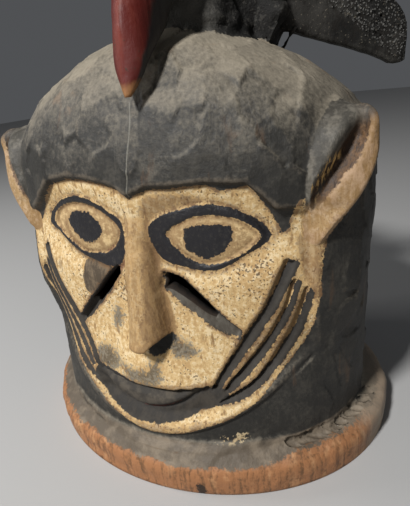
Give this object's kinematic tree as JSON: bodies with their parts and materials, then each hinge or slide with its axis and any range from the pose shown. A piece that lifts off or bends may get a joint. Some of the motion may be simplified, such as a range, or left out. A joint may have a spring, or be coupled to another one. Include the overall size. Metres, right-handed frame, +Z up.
{
  "type": "helmet mask",
  "caption": "Carved and painted wooden helmet mask with a stylised spirit face, leaf-shaped ears, cheek grooves and a bird crest; hollow, worn over the head, standing on its rim.",
  "frame": {"origin": "middle of the rim's underside, at the middle of the bounding box", "axes": "+Z up through the crown, the face looks towards -Y, the mask's left side is +X"},
  "size_m": [0.3266, 0.268, 0.392],
  "materials": {
    "carved_wood": "worn matt paint in black, cream and red on carved wood"
  },
  "bodies": {
    "root": {"helmet_mask": "carved_wood"}
  },
  "joints": []
}
